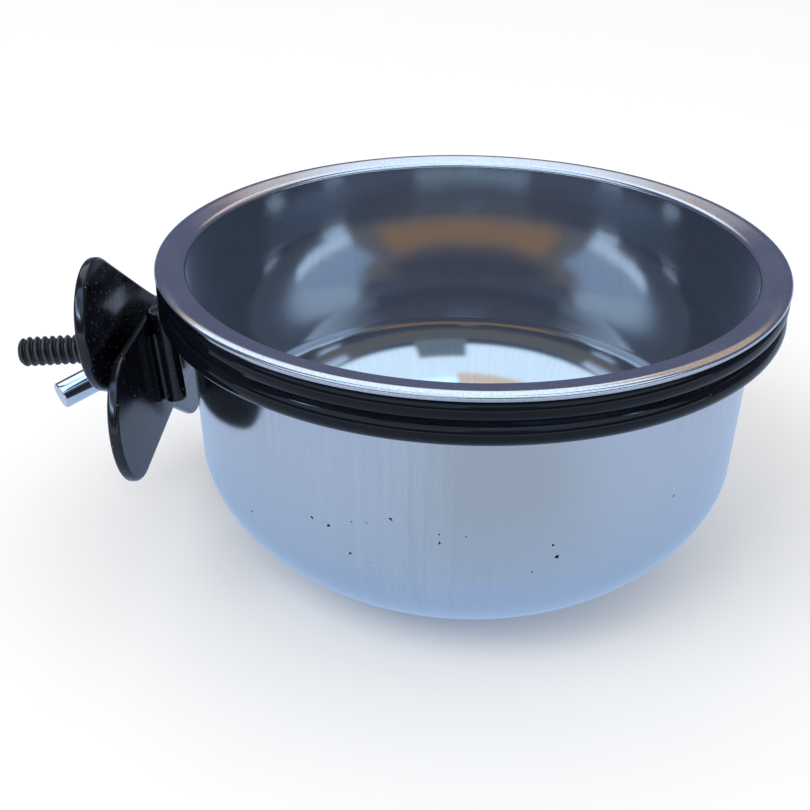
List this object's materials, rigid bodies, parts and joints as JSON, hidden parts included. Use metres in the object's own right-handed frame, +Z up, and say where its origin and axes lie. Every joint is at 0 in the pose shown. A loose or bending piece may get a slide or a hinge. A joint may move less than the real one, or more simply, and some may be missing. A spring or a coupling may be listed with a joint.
{
  "type": "clamp-on coop cup",
  "caption": "Round stainless steel feed and water cup that lifts out of a black ring holder, with a screw clamp beside the ring that grips the bars of a hutch or cage.",
  "frame": {"origin": "centre of the cup's flat underside", "axes": "+Z up along the cup's axis, +X away from the clamp, so the clamp points along -X"},
  "size_m": [0.1673, 0.133, 0.0752],
  "materials": {
    "cup_steel": "brushed outside with fine upright streaks, satin bright inside",
    "black_coat": "gloss black powder coat with orange peel",
    "black_thread": "satin black coat on a coarse thread",
    "chrome": "polished chrome plate"
  },
  "bodies": {
    "holder": {"upper_hoop": "black_coat", "lower_hoop": "black_coat", "hoop_welds": "black_coat", "saddle_legs": "black_coat", "saddle_welds": "black_coat", "fixed_plate": "black_coat", "clamp_bolt": "black_thread"},
    "cup": {"cup": "cup_steel"},
    "washer": {"washer": "chrome"},
    "loose_plate": {"loose_plate": "black_coat"},
    "wing_nut": {"nut_hub": "chrome", "nut_arms": "chrome"}
  },
  "joints": [
    {"name": "cup_lift", "type": "slide", "parent": "holder", "child": "cup", "axis": [0, 0, 1], "range_m": [0, 0.08]},
    {"name": "clamp_travel", "type": "slide", "parent": "holder", "child": "washer", "axis": [-0.9971, 0, -0.0767], "range_m": [-0.002, 0.018]},
    {"name": "plate_swivel", "type": "hinge", "parent": "washer", "child": "loose_plate", "pos_m": [-0.0665, 0, 0.0436], "axis": [-0.9971, 0, -0.0767], "continuous": true},
    {"name": "nut_spin", "type": "hinge", "parent": "washer", "child": "wing_nut", "pos_m": [-0.0665, 0, 0.0436], "axis": [-0.9971, 0, -0.0767], "range_deg": [-415, 3710]}
  ],
  "couplings": [
    {"joint": "nut_spin", "follows": "clamp_travel", "rad_per_m": 3590.4}
  ]
}
